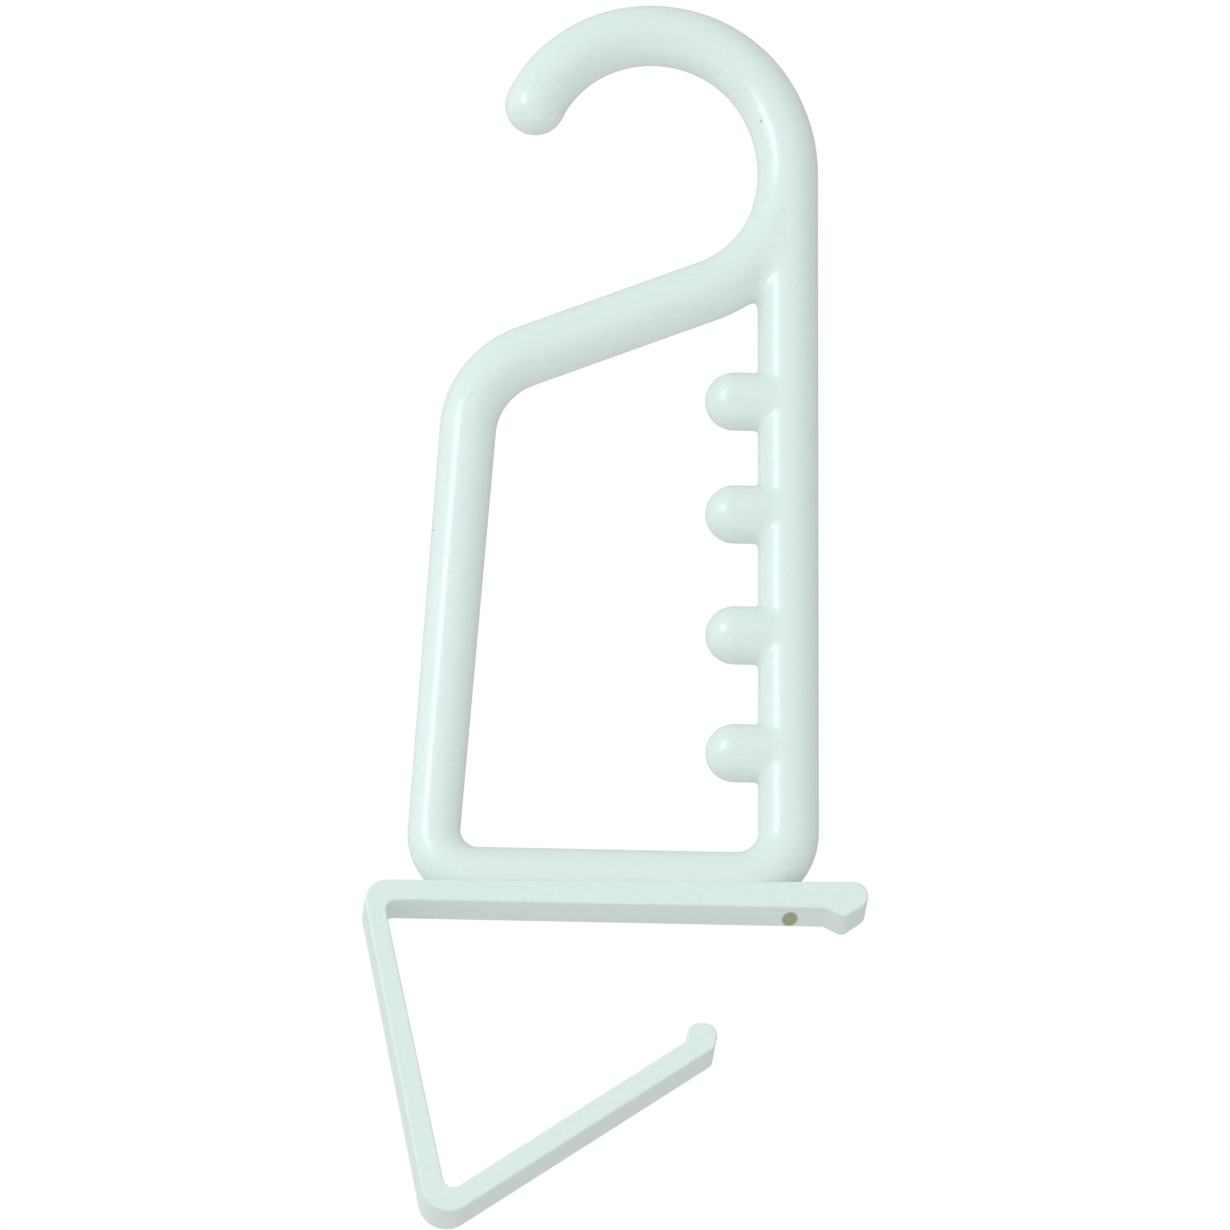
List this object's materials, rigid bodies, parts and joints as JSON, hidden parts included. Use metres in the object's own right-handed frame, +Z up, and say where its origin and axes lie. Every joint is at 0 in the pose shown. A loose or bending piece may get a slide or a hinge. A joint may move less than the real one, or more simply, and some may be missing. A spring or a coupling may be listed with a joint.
{
  "type": "clip drying hanger",
  "caption": "Round-rod plastic hook frame with side pegs for straps, on a flat springy strip clip that folds up and latches under a lip.",
  "frame": {"origin": "centre of the hook, on the axis of the rail it hangs from", "axes": "+Z up, +X to the right seen from the front, +Y to the back"},
  "size_m": [0.0838, 0.01, 0.2151],
  "materials": {
    "rod_plastic": "glossy white moulded plastic with a faint mint cast",
    "strip_plastic": "satin white moulded plastic with a faint mint cast"
  },
  "bodies": {
    "frame": {"hook_tip": "rod_plastic", "hook": "rod_plastic", "hook_neck": "rod_plastic", "shoulder_rod": "rod_plastic", "shoulder_bend": "rod_plastic", "left_post": "rod_plastic", "lower_left_corner": "rod_plastic", "bottom_rail": "rod_plastic", "lower_right_corner": "rod_plastic", "right_post": "rod_plastic", "peg_1": "rod_plastic", "peg_2": "rod_plastic", "peg_3": "rod_plastic", "peg_4": "rod_plastic", "clip_bar": "strip_plastic", "latch_lip": "strip_plastic", "upper_bend": "strip_plastic"},
    "link": {"clip_link": "strip_plastic", "lower_bend": "strip_plastic"},
    "arm": {"clip_arm": "strip_plastic", "catch_nose": "strip_plastic"}
  },
  "joints": [
    {"name": "link_flex", "type": "hinge", "parent": "frame", "child": "link", "pos_m": [-0.04451, 0, -0.13439], "axis": [0, -1, 0], "range_deg": [0, 31], "stiffness_Nm_per_rad": 0.25},
    {"name": "arm_flex", "type": "hinge", "parent": "link", "child": "arm", "pos_m": [-0.02967, 0, -0.18388], "axis": [0, 1, 0], "range_deg": [0, 22.7], "stiffness_Nm_per_rad": 0.25}
  ],
  "couplings": [
    {"joint": "arm_flex", "follows": "link_flex", "ratio": 0.73}
  ]
}
